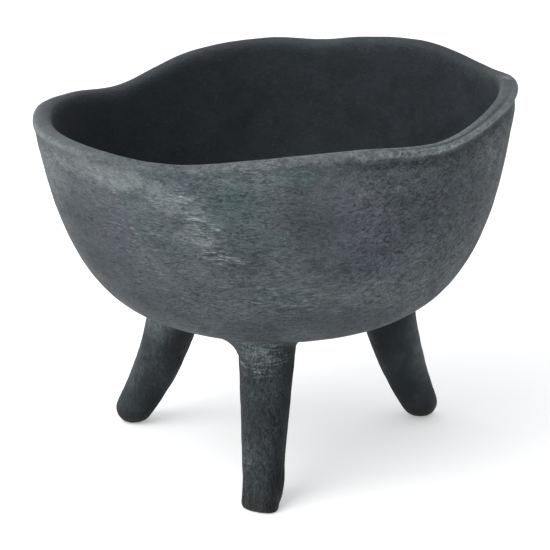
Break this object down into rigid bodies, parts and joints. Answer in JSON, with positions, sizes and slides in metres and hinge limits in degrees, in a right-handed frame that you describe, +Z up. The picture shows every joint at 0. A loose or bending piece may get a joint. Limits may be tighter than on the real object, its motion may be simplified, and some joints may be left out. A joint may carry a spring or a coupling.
{
  "type": "molcajete",
  "caption": "Hand-formed dark clay bowl with a wavy pinched lip, standing on splayed, tapered legs luted to its underside.",
  "frame": {"origin": "on the table surface under the centre of the object's box, midway between the lip's extremes", "axes": "+Z up out of the bowl's mouth, -Y towards the front leg, +X to the right seen from the front"},
  "size_m": [0.1776, 0.175, 0.1449],
  "materials": {
    "bowl_clay": "unglazed matte dark grey clay, wiped with a paler wash",
    "leg_clay": "unglazed matte dark grey clay, hand rolled",
    "coil_clay": "unglazed matte dark grey clay, smoothed by finger"
  },
  "bodies": {
    "root": {"bowl": "bowl_clay", "front_leg": "leg_clay", "rear_left_leg": "leg_clay", "rear_right_leg": "leg_clay", "front_leg_coil": "coil_clay", "rear_left_leg_coil": "coil_clay", "rear_right_leg_coil": "coil_clay"}
  },
  "joints": []
}
